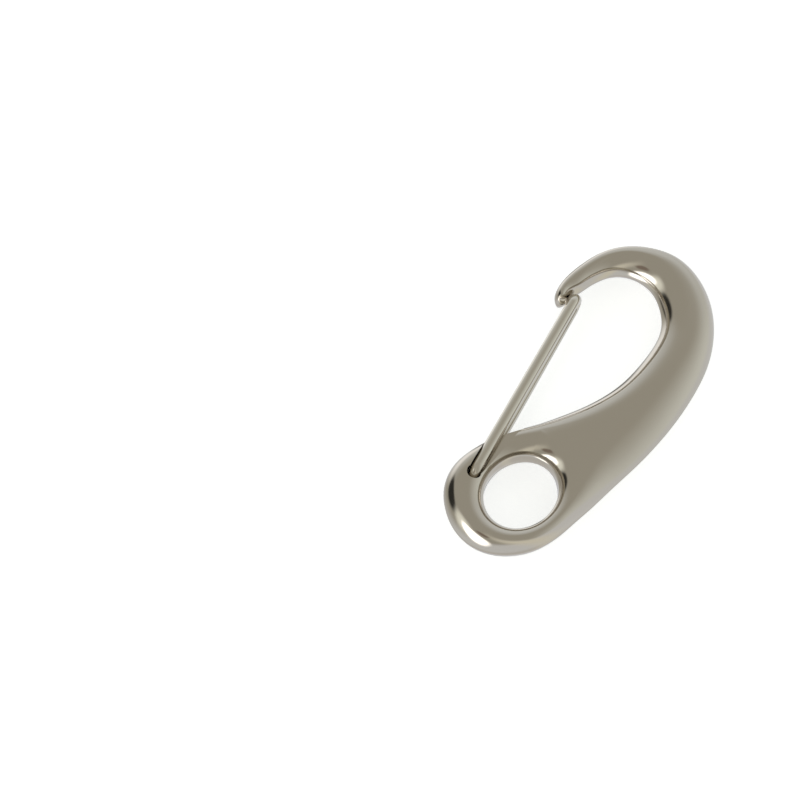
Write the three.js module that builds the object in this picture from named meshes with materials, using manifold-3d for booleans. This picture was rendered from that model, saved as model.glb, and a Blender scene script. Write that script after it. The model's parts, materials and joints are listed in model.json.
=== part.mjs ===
// Wire-gate snap hook: a cast hook body with an eye, and a bent round-wire gate that springs shut under its nose.
// The hook lies flat: X runs from the eye to the bow, Y towards the gate, Z through its thickness.

import * as THREE from 'three';
import { mergeVertices } from 'three/addons/utils/BufferGeometryUtils.js';
import Module from 'manifold-3d';

// Driving dimensions of the body, in millimetres
const hookLength = 100; // overall, from the end of the eye to the outside of the bow
const hookWidth = 46.2; // overall, from the back of the stem to the top of the nose
const bodyThickness = 11; // face to face over the eye and the stem
const noseThickness = 8; // at the tip of the nose
const eyeLength = 21; // bore of the eye, along the hook
const eyeWidth = 18.1; // bore of the eye, across the hook
const eyeWall = 8.2; // metal between the bore and the end of the hook
const eyeLip = 3.3; // rounding at both mouths of the bore
const eyeRoll = 5.5; // width over which a face rolls down into the outside of the eye
const backRoll = 8; // the same, into the back of the stem
const gulletRoll = 3; // the same, into the gullet edge of the stem
const bowRoll = 5.2; // the same, into both edges of the bow
const noseRoll = 2.4; // the same, into both edges of the nose

// Driving dimensions of the gate, in millimetres
const wireDiameter = 3.1;
const wireClearance = 0.3; // round the wire in its holes, its slots and its seat
const pivotWall = 1.7; // metal between the bore of the eye and the gate's holes
const legInset = 0.05; // how far the legs lie below the faces of the body at their root
const tipSpacing = 4.8; // between the two legs where the gate turns back on itself, centre to centre
const rootBendRadius = 2.4; // centre line of the turns into the holes
const endGap = 0.7; // between the two ends of the wire inside the body
const seatDepth = 0.5; // how far the gate's seat is let into the inner side of the nose
const gateOpening = 12; // how far the end of the gate swings in from the nose

// Direction of the gate's holes as seen from the centre of the eye
const pivotAngle = THREE.MathUtils.degToRad(103.5);

// Metal round the end of the eye, as shares of the wall at its very end, at equal angles from first to last
const eyeEndFirst = THREE.MathUtils.degToRad(99);
const eyeEndLast = THREE.MathUtils.degToRad(261);
const eyeWallShares = [1.175, 1.24, 1.195, 1.12, 1, 0.84, 0.705, 0.64, 0.62, 0.66];

// Edges of the body from the eye to the nose. Each row has a point of the gullet edge and the point of the back edge
// across from it: along, as a share of the way from the eye's centre to the bow, and across, as a share of the width.
const edgeShares = [
  [0.054, 0.357, 0.025, -0.333],
  [0.113, 0.301, 0.083, -0.359],
  [0.171, 0.228, 0.147, -0.383],
  [0.229, 0.149, 0.216, -0.409],
  [0.296, 0.069, 0.29, -0.437],
  [0.363, -0.004, 0.366, -0.459],
  [0.434, -0.065, 0.444, -0.474],
  [0.51, -0.108, 0.528, -0.4805],
  [0.589, -0.129, 0.613, -0.476],
  [0.669, -0.134, 0.702, -0.456],
  [0.747, -0.109, 0.8, -0.4],
  [0.811, -0.028, 0.898, -0.292],
  [0.848, 0.069, 0.969, -0.139],
  [0.857, 0.167, 1, 0.052],
  [0.849, 0.238, 0.978, 0.22],
  [0.826, 0.302, 0.927, 0.357],
  [0.792, 0.346, 0.86, 0.445],
  [0.754, 0.376, 0.797, 0.488],
  [0.714, 0.399, 0.739, 0.513],
  [0.679, 0.419, 0.682, 0.5185],
];
// Round tip of the nose, from its back edge to its underside, in the same shares
const noseTipShares = [
  [0.653, 0.505],
  [0.634, 0.469],
  [0.651, 0.433],
];

// How wide the faces roll at each row of edges, with the eye's own first row before them and the tip's after them.
// Each is a blend between two named rolls: the first name, the second name, and the share of the second.
const gulletRollShares = [
  ['eye', 'gullet', 0], ['eye', 'gullet', 0.2], ['eye', 'gullet', 0.6], ['eye', 'gullet', 1],
  ['gullet', 'bow', 0], ['gullet', 'bow', 0], ['gullet', 'bow', 0], ['gullet', 'bow', 0.1],
  ['gullet', 'bow', 0.2], ['gullet', 'bow', 0.4], ['gullet', 'bow', 0.6], ['gullet', 'bow', 0.8],
  ['gullet', 'bow', 1], ['bow', 'nose', 0], ['bow', 'nose', 0.1], ['bow', 'nose', 0.3],
  ['bow', 'nose', 0.5], ['bow', 'nose', 0.7], ['bow', 'nose', 0.9], ['bow', 'nose', 1],
  ['bow', 'nose', 1], ['bow', 'nose', 1],
];
const backRollShares = [
  ['eye', 'back', 0], ['eye', 'back', 0.2], ['eye', 'back', 0.5], ['eye', 'back', 0.8],
  ['eye', 'back', 1], ['back', 'bow', 0], ['back', 'bow', 0], ['back', 'bow', 0],
  ['back', 'bow', 0.1], ['back', 'bow', 0.3], ['back', 'bow', 0.5], ['back', 'bow', 0.7],
  ['back', 'bow', 0.9], ['back', 'bow', 1], ['bow', 'nose', 0.1], ['bow', 'nose', 0.3],
  ['bow', 'nose', 0.5], ['bow', 'nose', 0.7], ['bow', 'nose', 0.9], ['bow', 'nose', 1],
  ['bow', 'nose', 1], ['bow', 'nose', 1],
];
// How far the thickness has gone from the body's to the nose's at the same rows
const thinningShares = [
  0, 0, 0, 0, 0, 0, 0, 0, 0, 0, 0, 0, 0.04, 0.1, 0.18, 0.28, 0.42, 0.58, 0.74, 0.87, 0.96, 1,
];
// The two rolls of one section leave at least this share of its width flat
const leastLandShare = 0.08;

// Fineness of the faceted shapes
const stepsPerSpan = 3;
const rollSteps = 7;
const boreSides = 56;
const lipSteps = 6;
const wireSides = 16;
const bendSteps = 5;
const turnSteps = 12;
const legSteps = 3;
const arcSegments = 10;

// Worked out from the driving dimensions
const wireRadius = wireDiameter / 2;
const seatRadius = wireRadius + wireClearance;
const overrun = bodyThickness / 2;
const halfThickness = bodyThickness / 2;
const rootHeight = halfThickness - legInset - wireRadius;
const tipHeight = tipSpacing / 2;

function boreRadius(angle) {
  const along = (eyeLength / 2) * Math.sin(angle);
  const across = (eyeWidth / 2) * Math.cos(angle);
  return ((eyeLength / 2) * (eyeWidth / 2)) / Math.hypot(along, across);
}

function polar(angle, radius) {
  return new THREE.Vector2(Math.cos(angle) * radius, Math.sin(angle) * radius);
}

// Points of the eye's rounded end, from the gate side round to the back
const eyeEndPoints = eyeWallShares.map((share, i) => {
  const angle = THREE.MathUtils.lerp(eyeEndFirst, eyeEndLast, i / (eyeWallShares.length - 1));
  return polar(angle, boreRadius(angle) + eyeWall * share);
});
const eyeEnd = -Math.min(...eyeEndPoints.map((point) => point.x));
const reach = hookLength - eyeEnd;
const placed = (along, across) => new THREE.Vector2(along * reach, across * hookWidth);

const gulletEdge = edgeShares.map(([along, across]) => placed(along, across));
const backEdge = edgeShares.map(([, , along, across]) => placed(along, across));
const noseTip = noseTipShares.map(([along, across]) => placed(along, across));

const rolls = { eye: eyeRoll, back: backRoll, gullet: gulletRoll, bow: bowRoll, nose: noseRoll };
const rollAt = ([from, to, share]) => THREE.MathUtils.lerp(rolls[from], rolls[to], share);

// A closed mesh as a solid that can be joined and cut
const wasm = await Module();
wasm.setup();

function toSolid(geometry) {
  const bare = geometry.clone();
  bare.deleteAttribute('normal');
  bare.deleteAttribute('uv');
  const merged = mergeVertices(bare);
  const mesh = new wasm.Mesh({
    numProp: 3,
    vertProperties: new Float32Array(merged.attributes.position.array),
    triVerts: new Uint32Array(merged.index.array),
  });
  return new wasm.Manifold(mesh);
}

function toGeometry(solid) {
  const mesh = solid.getMesh();
  const geometry = new THREE.BufferGeometry();
  geometry.setAttribute('position', new THREE.BufferAttribute(new Float32Array(mesh.vertProperties), 3));
  geometry.setIndex(new THREE.BufferAttribute(new Uint32Array(mesh.triVerts), 1));
  geometry.computeVertexNormals();
  return geometry;
}

// The same shape on the other side of the mid-plane, its faces turned to point outwards again
function mirroredInZ(geometry) {
  const mirrored = geometry.index ? geometry.toNonIndexed() : geometry.clone();
  const position = mirrored.attributes.position;
  const corner = new THREE.Vector3();
  const other = new THREE.Vector3();
  for (let i = 0; i < position.count; i += 3) {
    for (let k = 0; k < 3; k += 1) {
      position.setZ(i + k, -position.getZ(i + k));
    }
    corner.fromBufferAttribute(position, i + 1);
    other.fromBufferAttribute(position, i + 2);
    position.setXYZ(i + 1, other.x, other.y, other.z);
    position.setXYZ(i + 2, corner.x, corner.y, corner.z);
  }
  return mirrored;
}

// One closed outline round the whole body. Every outline point knows the spine point that its face falls towards,
// how wide the face rolls there and how thick the body is there.
function bodyOutline() {
  const rows = edgeShares.length;
  const control = [];
  const add = (point, row, gulletSide) => control.push({ point, row, gulletSide });
  eyeEndPoints.forEach((point, i) => add(point, 0, i < eyeEndPoints.length / 2));
  backEdge.forEach((point, i) => add(point, i + 1, false));
  noseTip.forEach((point, i) => add(point, rows + 1, i > noseTip.length / 2));
  for (let i = rows - 1; i >= 0; i -= 1) {
    add(gulletEdge[i], i + 1, true);
  }
  const curve = new THREE.CatmullRomCurve3(
    control.map(({ point }) => new THREE.Vector3(point.x, point.y, 0)),
    true,
    'centripetal',
  );
  const sample = (place) => {
    const at = curve.getPoint((place / control.length) % 1);
    return new THREE.Vector2(at.x, at.y);
  };

  // Where each row lies on the outline: its back edge going one way round, its gullet edge coming back
  const lastEye = eyeEndPoints.length - 1;
  const backPlace = (row) => lastEye + row;
  const firstNose = lastEye + rows + 1;
  const lastNose = firstNose + noseTip.length - 1;
  const gulletPlace = (row) => lastNose + (rows + 1 - row);
  const spans = (rows + 1) * stepsPerSpan;

  const stations = [];
  for (let step = 0; step <= spans; step += 1) {
    const row = step / stepsPerSpan;
    const low = Math.min(Math.floor(row), rows);
    const share = row - low;
    const blend = (table) => THREE.MathUtils.lerp(rollAt(table[low]), rollAt(table[low + 1]), share);
    const back = sample(backPlace(row));
    const gullet = sample(gulletPlace(row));
    const width = back.distanceTo(gullet);
    const most = (width * (1 - leastLandShare)) / 2;
    const backWidth = Math.min(blend(backRollShares), most);
    const gulletWidth = Math.min(blend(gulletRollShares), most);
    const spineShare = (gulletWidth + (width - gulletWidth - backWidth) / 2) / width;
    const thinning = THREE.MathUtils.lerp(thinningShares[low], thinningShares[low + 1], share);
    stations.push({
      back,
      gullet,
      backWidth,
      gulletWidth,
      spine: gullet.clone().lerp(back, spineShare),
      half: THREE.MathUtils.lerp(bodyThickness, noseThickness, thinning) / 2,
    });
  }

  const outline = [];
  const cap = (from, to, station, startWidth, endWidth) => {
    for (let step = 1; step < (to - from) * stepsPerSpan; step += 1) {
      const place = from + step / stepsPerSpan;
      const roll = THREE.MathUtils.lerp(startWidth, endWidth, (place - from) / (to - from));
      outline.push({ edge: sample(place), spine: station.spine, roll, half: station.half });
    }
  };
  const first = stations[0];
  const last = stations[stations.length - 1];
  cap(0, lastEye, first, first.gulletWidth, first.backWidth);
  stations.forEach(({ back, spine, backWidth, half }) => outline.push({ edge: back, spine, roll: backWidth, half }));
  cap(firstNose, lastNose, last, last.backWidth, last.gulletWidth);
  stations.toReversed().forEach(({ gullet, spine, gulletWidth, half }) => {
    outline.push({ edge: gullet, spine, roll: gulletWidth, half });
  });
  return outline;
}

// The body before it is cut: from the edge each face rises on a quarter ellipse to its flat land, which runs to the
// spine. The two faces mirror each other.
function solidBody() {
  const outline = bodyOutline();
  const count = outline.length;
  const positions = [];
  const index = [];
  const ring = (side, step) => outline.map(({ edge, spine, roll, half }) => {
    const turn = (step / rollSteps) * (Math.PI / 2);
    const inward = spine.clone().sub(edge);
    const inset = Math.min(roll, inward.length()) * (1 - Math.cos(turn));
    const at = edge.clone().addScaledVector(inward.normalize(), inset);
    positions.push(at.x, at.y, side * half * Math.sin(turn));
    return positions.length / 3 - 1;
  });
  const spineRing = (side) => outline.map(({ spine, half }) => {
    positions.push(spine.x, spine.y, side * half);
    return positions.length / 3 - 1;
  });
  const edgeRing = ring(1, 0);
  for (const side of [1, -1]) {
    let outer = edgeRing;
    for (let step = 1; step <= rollSteps + 1; step += 1) {
      const inner = step > rollSteps ? spineRing(side) : ring(side, step);
      for (let i = 0; i < count; i += 1) {
        const next = (i + 1) % count;
        const quad = [outer[i], outer[next], inner[next], inner[i]];
        const [a, b, c, d] = side > 0 ? quad : quad.toReversed();
        index.push(a, b, c, a, c, d);
      }
      outer = inner;
    }
  }
  const geometry = new THREE.BufferGeometry();
  geometry.setAttribute('position', new THREE.Float32BufferAttribute(positions, 3));
  geometry.setIndex(index);
  const merged = mergeVertices(geometry);
  const kept = [];
  for (let i = 0; i < merged.index.count; i += 3) {
    const [a, b, c] = [merged.index.getX(i), merged.index.getX(i + 1), merged.index.getX(i + 2)];
    if (a !== b && b !== c && c !== a) {
      kept.push(a, b, c);
    }
  }
  merged.setIndex(kept);
  return toSolid(merged);
}

// What the bore of the eye takes away: a barrel that flares out on a quarter circle at both faces, drawn round and
// then stretched along the hook
function boreTool() {
  const radius = eyeWidth / 2;
  const profile = [new THREE.Vector2(0, -halfThickness - overrun)];
  profile.push(new THREE.Vector2(radius + eyeLip, -halfThickness - overrun));
  for (const side of [-1, 1]) {
    for (let step = 0; step <= lipSteps; step += 1) {
      const turn = ((side < 0 ? step : lipSteps - step) / lipSteps) * (Math.PI / 2);
      const flare = radius + eyeLip * (1 - Math.sin(turn));
      profile.push(new THREE.Vector2(flare, side * (halfThickness - eyeLip * (1 - Math.cos(turn)))));
    }
  }
  profile.push(new THREE.Vector2(radius + eyeLip, halfThickness + overrun));
  profile.push(new THREE.Vector2(0, halfThickness + overrun));
  const geometry = new THREE.LatheGeometry(profile, boreSides);
  geometry.rotateX(Math.PI / 2);
  geometry.scale(eyeLength / eyeWidth, 1, 1);
  return toSolid(geometry);
}

// Pivot of the gate, and the centre of its end, let into the nose just behind the tip
const pivot = polar(pivotAngle, boreRadius(pivotAngle) + pivotWall + seatRadius);
const noseEdgeEnd = gulletEdge[gulletEdge.length - 1];
const gateEnd = new THREE.Vector2(noseEdgeEnd.x, noseEdgeEnd.y - seatRadius + seatDepth);
const gateDirection = gateEnd.clone().sub(pivot);
const gateLength = gateDirection.length();
const gateAngle = gateDirection.angle();
const openAngle = 2 * Math.asin(gateOpening / 2 / gateLength);

// How much closer to the mid-plane the legs come for each millimetre away from the pivot
const legSlope = (rootHeight - tipHeight) / (gateLength - tipHeight - rootBendRadius);

// The slot that one leg swings in, from its hole out of the side of the body, closed to open
function slotTool() {
  const slotLength = pivot.distanceTo(gulletEdge[4]);
  const shape = new THREE.Shape();
  const closedEnd = new THREE.Vector2(slotLength, seatRadius);
  const origin = new THREE.Vector2(0, 0);
  const openEnd = new THREE.Vector2(slotLength, -seatRadius).rotateAround(origin, -openAngle);
  const openRoot = new THREE.Vector2(0, -seatRadius).rotateAround(origin, -openAngle);
  shape.moveTo(0, seatRadius);
  shape.lineTo(closedEnd.x, closedEnd.y);
  shape.lineTo(openEnd.x, openEnd.y);
  shape.lineTo(openRoot.x, openRoot.y);
  shape.absarc(0, 0, seatRadius, -Math.PI / 2 - openAngle, -1.5 * Math.PI, true);
  const depth = bodyThickness;
  const geometry = new THREE.ExtrudeGeometry(shape, { depth, bevelEnabled: false, curveSegments: arcSegments });
  const middle = polar(-openAngle / 2, 1);
  const floor = rootHeight - seatRadius + legSlope * rootBendRadius;
  const position = geometry.attributes.position;
  for (let i = 0; i < position.count; i += 1) {
    const along = position.getX(i) * middle.x + position.getY(i) * middle.y;
    position.setZ(i, position.getZ(i) + floor - legSlope * along);
  }
  geometry.rotateZ(gateAngle);
  geometry.translate(pivot.x, pivot.y, 0);
  return geometry;
}

function holeTool() {
  const geometry = new THREE.CylinderGeometry(seatRadius, seatRadius, bodyThickness + overrun, arcSegments * 2);
  geometry.rotateX(Math.PI / 2);
  geometry.rotateZ(gateAngle);
  geometry.translate(pivot.x, pivot.y, 0);
  return toSolid(geometry);
}

// The seat in the inner side of the nose: it runs along the closed gate, open towards the tip and round at its end
function seatTool() {
  const length = noseEdgeEnd.distanceTo(noseTip[1]) + overrun;
  const shape = new THREE.Shape();
  shape.moveTo(0, -seatRadius);
  shape.lineTo(length, -seatRadius);
  shape.lineTo(length, seatRadius);
  shape.lineTo(0, seatRadius);
  shape.absarc(0, 0, seatRadius, Math.PI / 2, 1.5 * Math.PI, false);
  const depth = bodyThickness + overrun;
  const geometry = new THREE.ExtrudeGeometry(shape, { depth, bevelEnabled: false, curveSegments: arcSegments });
  geometry.translate(0, 0, -depth / 2);
  geometry.rotateZ(gateAngle + Math.PI);
  geometry.translate(gateEnd.x, gateEnd.y, 0);
  return toSolid(geometry);
}

function hookBodyGeometry() {
  const slot = slotTool();
  return toGeometry(
    solidBody()
      .subtract(boreTool())
      .subtract(holeTool())
      .subtract(toSolid(slot))
      .subtract(toSolid(mirroredInZ(slot)))
      .subtract(seatTool()),
  );
}

// Centre line of the gate's wire in its own frame: the pivot is at the origin and X points to the nose. It is a row
// of straight and turned pieces with their own number of steps, so that the turns are finer than the legs.
class WireLine extends THREE.Curve {
  constructor() {
    super();
    const legStart = new THREE.Vector2(rootBendRadius, rootHeight);
    const legEnd = new THREE.Vector2(gateLength - tipHeight, tipHeight);
    const endHeight = endGap / 2;
    const rootTurn = rootHeight - rootBendRadius;
    const line = (x0, z0, x1, z1, steps) => ({ steps, at: (t) => [x0 + (x1 - x0) * t, z0 + (z1 - z0) * t] });
    const arc = (x, z, radius, from, to, steps) => ({
      steps,
      at: (t) => {
        const turn = from + (to - from) * t;
        return [x + Math.cos(turn) * radius, z + Math.sin(turn) * radius];
      },
    });
    this.pieces = [
      line(0, -endHeight, 0, -rootTurn, 1),
      arc(rootBendRadius, -rootTurn, rootBendRadius, Math.PI, 1.5 * Math.PI, bendSteps),
      line(legStart.x, -legStart.y, legEnd.x, -legEnd.y, legSteps),
      arc(legEnd.x, 0, tipHeight, -Math.PI / 2, Math.PI / 2, turnSteps),
      line(legEnd.x, legEnd.y, legStart.x, legStart.y, legSteps),
      arc(rootBendRadius, rootTurn, rootBendRadius, Math.PI / 2, Math.PI, bendSteps),
      line(0, rootTurn, 0, endHeight, 1),
    ];
    this.steps = this.pieces.reduce((sum, piece) => sum + piece.steps, 0);
  }

  getPoint(t, target = new THREE.Vector3()) {
    let place = THREE.MathUtils.clamp(t, 0, 1) * this.steps;
    let piece = this.pieces[0];
    for (piece of this.pieces) {
      if (place <= piece.steps) {
        break;
      }
      place -= piece.steps;
    }
    const [x, z] = piece.at(Math.min(place / piece.steps, 1));
    return target.set(x, 0, z);
  }

  getPointAt(u, target) {
    return this.getPoint(u, target);
  }

  getTangentAt(u, target) {
    return this.getTangent(u, target);
  }
}

function wireGateGeometry() {
  const line = new WireLine();
  const section = new THREE.Shape();
  for (let i = 0; i < wireSides; i += 1) {
    const corner = polar((i / wireSides) * 2 * Math.PI, wireRadius);
    if (i === 0) {
      section.moveTo(corner.x, corner.y);
    } else {
      section.lineTo(corner.x, corner.y);
    }
  }
  section.closePath();
  return new THREE.ExtrudeGeometry(section, { steps: line.steps, extrudePath: line });
}

const castSteel = new THREE.MeshStandardMaterial({ color: 0x9a9488, roughness: 0.12, metalness: 1 });
const springWire = new THREE.MeshStandardMaterial({ color: 0xa39d92, roughness: 0.15, metalness: 1 });

const hookBody = new THREE.Mesh(hookBodyGeometry(), castSteel);
hookBody.name = 'hook_body';

const wireGate = new THREE.Mesh(wireGateGeometry(), springWire);
wireGate.name = 'wire_gate';
wireGate.position.set(pivot.x, pivot.y, 0);
wireGate.rotation.z = gateAngle;

// The eye's centre is the drawing's own zero. The part's zero is below its middle, on what it lies on.
const outside = new THREE.Box3().setFromBufferAttribute(hookBody.geometry.attributes.position);
const middle = outside.getCenter(new THREE.Vector3());
const group = new THREE.Group();
group.add(hookBody, wireGate);
group.position.set(-middle.x, -middle.y, halfThickness);

export default group;
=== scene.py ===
"""A wire-gate snap hook on a white floor: a cast and polished body, and a gate of bent round wire."""

import json
import math

import bpy
import numpy as np
from mathutils import Matrix, Vector


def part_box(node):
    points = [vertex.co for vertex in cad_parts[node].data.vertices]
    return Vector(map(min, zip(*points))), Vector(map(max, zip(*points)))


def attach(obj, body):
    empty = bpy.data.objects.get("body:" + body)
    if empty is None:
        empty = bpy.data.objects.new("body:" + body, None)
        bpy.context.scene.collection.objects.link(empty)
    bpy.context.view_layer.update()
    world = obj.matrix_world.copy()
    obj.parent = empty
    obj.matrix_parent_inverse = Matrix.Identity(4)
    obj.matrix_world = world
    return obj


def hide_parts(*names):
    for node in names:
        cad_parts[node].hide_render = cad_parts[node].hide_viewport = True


bl_info = {
    "name": "Wire-gate snap hook",
    "version": (1, 0, 0),
    "blender": (4, 5, 0),
    "location": "View3D > Sidebar > Snap hook",
    "description": "Models a cast snap hook with a bent wire gate, and the studio it is seen in",
    "category": "Object",
}

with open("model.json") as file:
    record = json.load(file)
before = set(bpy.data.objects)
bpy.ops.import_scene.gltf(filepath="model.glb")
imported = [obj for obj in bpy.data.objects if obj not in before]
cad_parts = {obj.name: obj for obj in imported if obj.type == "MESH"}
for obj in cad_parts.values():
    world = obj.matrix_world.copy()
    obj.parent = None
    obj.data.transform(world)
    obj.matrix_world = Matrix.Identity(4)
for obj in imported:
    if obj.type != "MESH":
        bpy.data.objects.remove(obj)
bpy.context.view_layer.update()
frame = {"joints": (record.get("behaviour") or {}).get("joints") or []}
body_low, body_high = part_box("hook_body")
hinge = next(joint for joint in frame["joints"] if joint["name"] == "gate_hinge")
mm = 0.001

# Metal round the end of the eye, as shares of the wall at its very end, at equal angles from first to last
EYE_END_ANGLES = (math.radians(99), math.radians(261))
EYE_WALL_SHARES = (1.175, 1.24, 1.195, 1.12, 1, 0.84, 0.705, 0.64, 0.62, 0.66)

# Edges of the body from the eye to the nose. Each row has a point of the gullet edge and the point of the
# back edge across from it: along, as a share of the way from the eye's centre to the bow, and across, as a
# share of the width.
EDGE_SHARES = (
    (0.054, 0.357, 0.025, -0.333),
    (0.113, 0.301, 0.083, -0.359),
    (0.171, 0.228, 0.147, -0.383),
    (0.229, 0.149, 0.216, -0.409),
    (0.296, 0.069, 0.29, -0.437),
    (0.363, -0.004, 0.366, -0.459),
    (0.434, -0.065, 0.444, -0.474),
    (0.51, -0.108, 0.528, -0.4805),
    (0.589, -0.129, 0.613, -0.476),
    (0.669, -0.134, 0.702, -0.456),
    (0.747, -0.109, 0.8, -0.4),
    (0.811, -0.028, 0.898, -0.292),
    (0.848, 0.069, 0.969, -0.139),
    (0.857, 0.167, 1, 0.052),
    (0.849, 0.238, 0.978, 0.22),
    (0.826, 0.302, 0.927, 0.357),
    (0.792, 0.346, 0.86, 0.445),
    (0.754, 0.376, 0.797, 0.488),
    (0.714, 0.399, 0.739, 0.513),
    (0.679, 0.419, 0.682, 0.5185),
)
NOSE_TIP_SHARES = ((0.653, 0.505), (0.634, 0.469), (0.651, 0.433))

# How far the last points of the gullet edge are let into the nose for the gate's seat, counted from the end,
# as shares of the seat's depth
SEAT_SHARES = ((1, 1), (2, 0.45), (3, 0.1))

# How wide the faces roll into each edge at the rows, the eye's own row first and the tip's last, as blends:
# the first roll, the second roll, and the share of the second
GULLET_ROLLS = (
    ("eye", "gullet", 0), ("eye", "gullet", 0.2), ("eye", "gullet", 0.6), ("eye", "gullet", 1),
    ("gullet", "throat", 0), ("gullet", "throat", 0), ("gullet", "throat", 0), ("gullet", "throat", 0.1),
    ("gullet", "throat", 0.2), ("gullet", "throat", 0.4), ("gullet", "throat", 0.6),
    ("gullet", "throat", 0.8), ("gullet", "throat", 1),
    ("throat", "nose", 0), ("throat", "nose", 0.1), ("throat", "nose", 0.3), ("throat", "nose", 0.5),
    ("throat", "nose", 0.7), ("throat", "nose", 0.9), ("throat", "nose", 1), ("throat", "nose", 1),
    ("throat", "nose", 1),
)
BACK_ROLLS = (
    ("eye", "back", 0), ("eye", "back", 0.2), ("eye", "back", 0.5), ("eye", "back", 0.8),
    ("eye", "back", 1), ("back", "bow", 0), ("back", "bow", 0), ("back", "bow", 0),
    ("back", "bow", 0.1), ("back", "bow", 0.3), ("back", "bow", 0.5), ("back", "bow", 0.7),
    ("back", "bow", 0.9), ("back", "bow", 1), ("bow", "nose", 0.1), ("bow", "nose", 0.3),
    ("bow", "nose", 0.5), ("bow", "nose", 0.7), ("bow", "nose", 0.9), ("bow", "nose", 1),
    ("bow", "nose", 1), ("bow", "nose", 1),
)

# At the same rows: how far the body has thinned towards its nose, and how much of its full crown the face has
THINNING = (0, 0, 0, 0, 0, 0, 0, 0, 0, 0, 0, 0, 0.04, 0.1, 0.18, 0.28, 0.42, 0.58, 0.74, 0.87, 0.96, 1)
CROWNING = (0, 0.05, 0.2, 0.45, 0.7, 0.9, 1, 1, 1, 1, 0.95, 0.8, 0.6, 0.4, 0.25, 0.15, 0.08, 0, 0, 0, 0, 0)

# The patterns of the metal. The waves and patches are as long as the wheel leaves them. Its marks are about a
# fortieth of a millimetre wide, too fine to show, so they are drawn as coarse as it takes to soften a
# reflection's edge.
WAVE_LENGTH = 14 * mm
PATCH_LENGTH = 6 * mm
MARK_LENGTH = 0.9 * mm
PATCHINESS = 0.15  # how much rougher or smoother than the rest a patch is
NOISE_LOW, NOISE_HIGH = 0.3, 0.7  # nearly all of a noise lies between these

# The light: soft fields of colour round the hook. Each row has the field's middle, in degrees round from the
# picture's right and up from the floor, half its width and height, how far its middle moves round for each
# degree up, how soft its edge is, its colour and its strength. A later field covers an earlier one.
FIELDS = {
    "right wall": (0, -11, 42, 51, 0.1, 0.9, "#e6e9e4", 1.0),
    "far wall": (86, 9, 44, 35, -0.27, 0.6, "#dee1e1", 1.0),
    "lit floor": (0, -95, 900, 47, 0, 0.3, "#d8d8dc", 1.0),
    "near floor": (319, -47, 152, 41, 0.48, 0.26, "#e0e2e4", 1.0),
    "shaded floor": (270, -66, 115, 15, 0, 0.4, "#d0cecb", 1.0),
    "window": (110, -20, 28, 20, 0, 0.6, "#ffffff", 1.15),
    "dark skirting": (96, -47, 6, 14, 0.57, 0.5, "#8c8b88", 1.0),
    "cream card": (291, -9, 13, 52, -0.79, 0.9, "#ece9db", 1.0),
    "black card": (160, 0, 19, 22, 0.04, 0.3, "#363633", 1.0),
    "softbox edge": (196, 11, 17, 29, -0.14, 0.5, "#fefff6", 1.05),
    "softbox": (223, -2, 23, 27, -0.55, 0.22, "#ffffff", 2.6),
    "brown card": (231, 38, 12, 12, -0.58, 0.25, "#8c7f75", 1.0),
}


def srgb(code):
    """A hex colour as the linear red, green and blue that a shader takes."""
    parts = [int(code[i : i + 2], 16) / 255 for i in (1, 3, 5)]
    return tuple(c / 12.92 if c <= 0.04045 else ((c + 0.055) / 1.055) ** 2.4 for c in parts)


def length(name, description, value):
    """A length, given in metres and shown in the user's units."""
    return bpy.props.FloatProperty(
        name=name,
        description=description,
        default=value,
        min=0,
        subtype="DISTANCE",
        unit="LENGTH",
        precision=4,
    )


def bearing(name, description, degrees):
    """An angle, given and shown in degrees."""
    return bpy.props.FloatProperty(
        name=name, description=description, default=math.radians(degrees), subtype="ANGLE"
    )


def colour(name, description, code):
    """A colour of a finish or a light, given as hex."""
    return bpy.props.FloatVectorProperty(
        name=name, description=description, default=srgb(code), min=0, max=1, size=3, subtype="COLOR"
    )


class HookBodySizes(bpy.types.PropertyGroup):
    """Sizes and finish of the cast body."""

    hook_length: length(
        "Length", "From the end of the eye to the outside of the bow", body_high.x - body_low.x
    )
    hook_width: length("Width", "From the back of the stem to the top of the nose", body_high.y - body_low.y)
    thickness: length("Thickness", "Face to face over the eye and the stem", body_high.z - body_low.z)
    nose_thickness: length("Nose thickness", "Face to face at the tip of the nose", 8 * mm)
    eye_length: length("Eye length", "Bore of the eye, along the hook", 21 * mm)
    eye_width: length("Eye width", "Bore of the eye, across the hook", 18.1 * mm)
    eye_wall: length("Eye wall", "Metal between the bore and the end of the hook", 8.2 * mm)
    eye_lip: length("Eye lip", "Rounding at both mouths of the bore", 6.2 * mm)
    lip_depth: length("Lip depth", "How far down the bore the lip reaches", 4.3 * mm)
    eye_roll: length("Eye roll", "Width over which a face rolls down into the outside of the eye", 8 * mm)
    back_roll: length("Back roll", "Width of the roll into the back of the stem", 8.5 * mm)
    gullet_roll: length("Gullet roll", "Width of the roll into the gullet edge of the stem", 6 * mm)
    throat_roll: length("Throat roll", "Width of the roll into the inner edge of the bow", 9 * mm)
    bow_roll: length("Bow roll", "Width of the roll into the outer edge of the bow", 7 * mm)
    nose_roll: length("Nose roll", "Width of the roll into both edges of the nose", 3.6 * mm)
    crown: length("Crown", "How far the face of the stem falls towards its back before it rolls", 0.9 * mm)
    crown_width: length("Crown width", "How far from the back edge the face begins to fall", 17 * mm)
    seat_depth: length("Seat depth", "How far the gate's seat is let into the nose", 0.5 * mm)
    steel: colour("Steel", "Colour of the polished casting", "#cbc5bb")


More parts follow.
